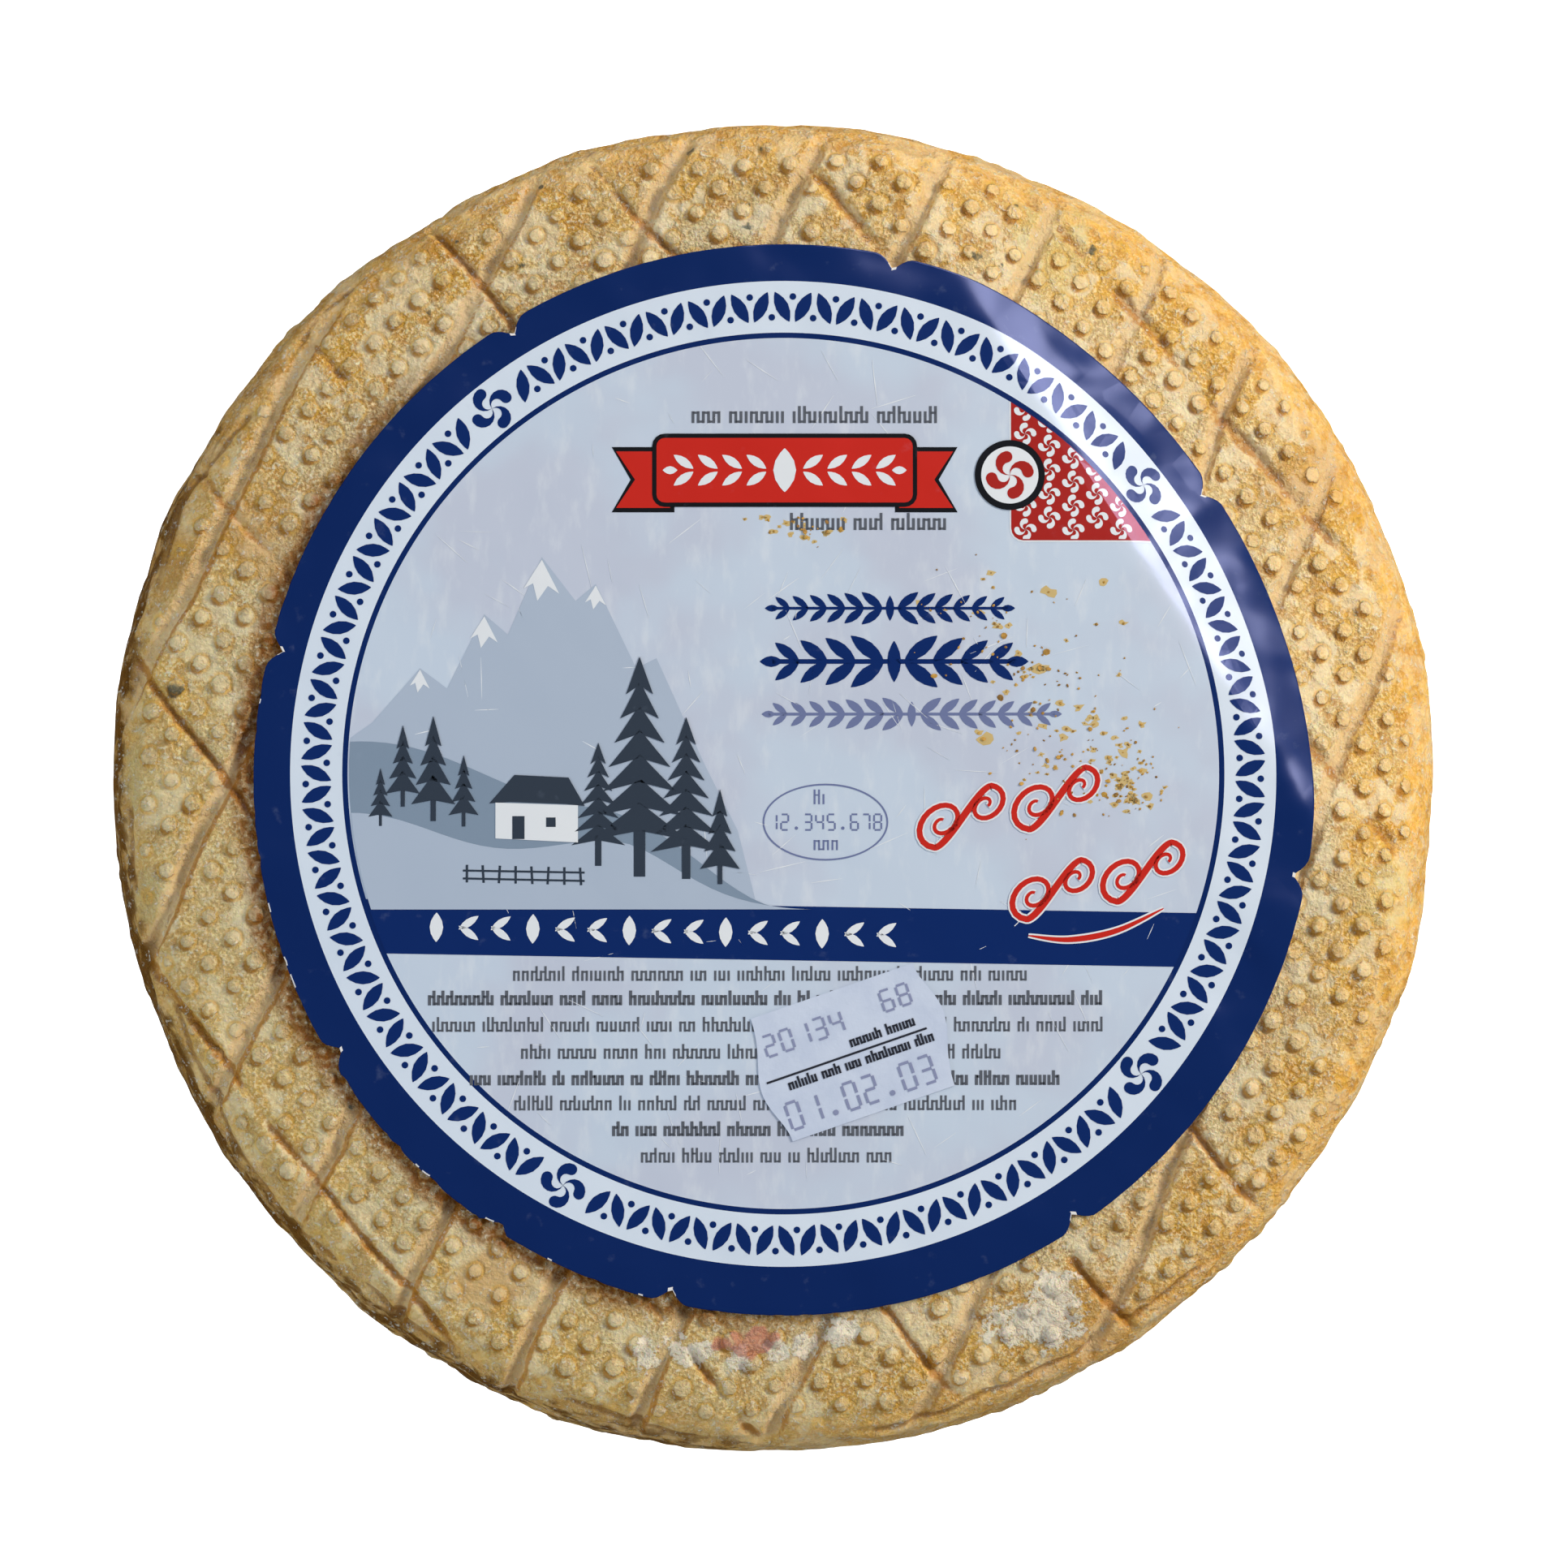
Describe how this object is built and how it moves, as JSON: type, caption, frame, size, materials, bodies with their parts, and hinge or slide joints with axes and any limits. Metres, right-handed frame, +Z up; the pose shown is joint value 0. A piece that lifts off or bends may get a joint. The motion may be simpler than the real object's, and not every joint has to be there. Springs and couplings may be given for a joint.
{
  "type": "cheese wheel",
  "caption": "Round semi-hard cheese wheel lying flat, with a grooved and pimpled pressed rind, a round paper label on its top and a small date sticker on the label.",
  "frame": {"origin": "centre of the flat base, on the surface that the wheel lies on", "axes": "+Z up along the wheel's axis; +Y towards the top of the label's print, +X to its right"},
  "size_m": [0.2004, 0.2004, 0.0811],
  "materials": {
    "rind": "mottled ochre cheese rind, waxy on the shoulder, mealy between the grooves",
    "label_paper": "coated paper, glossy, navy border round a pale blue-grey field",
    "sticker_paper": "thin white self-adhesive paper, satin"
  },
  "bodies": {
    "root": {"cheese_wheel": "rind", "paper_label": "label_paper", "date_sticker": "sticker_paper"}
  },
  "joints": []
}
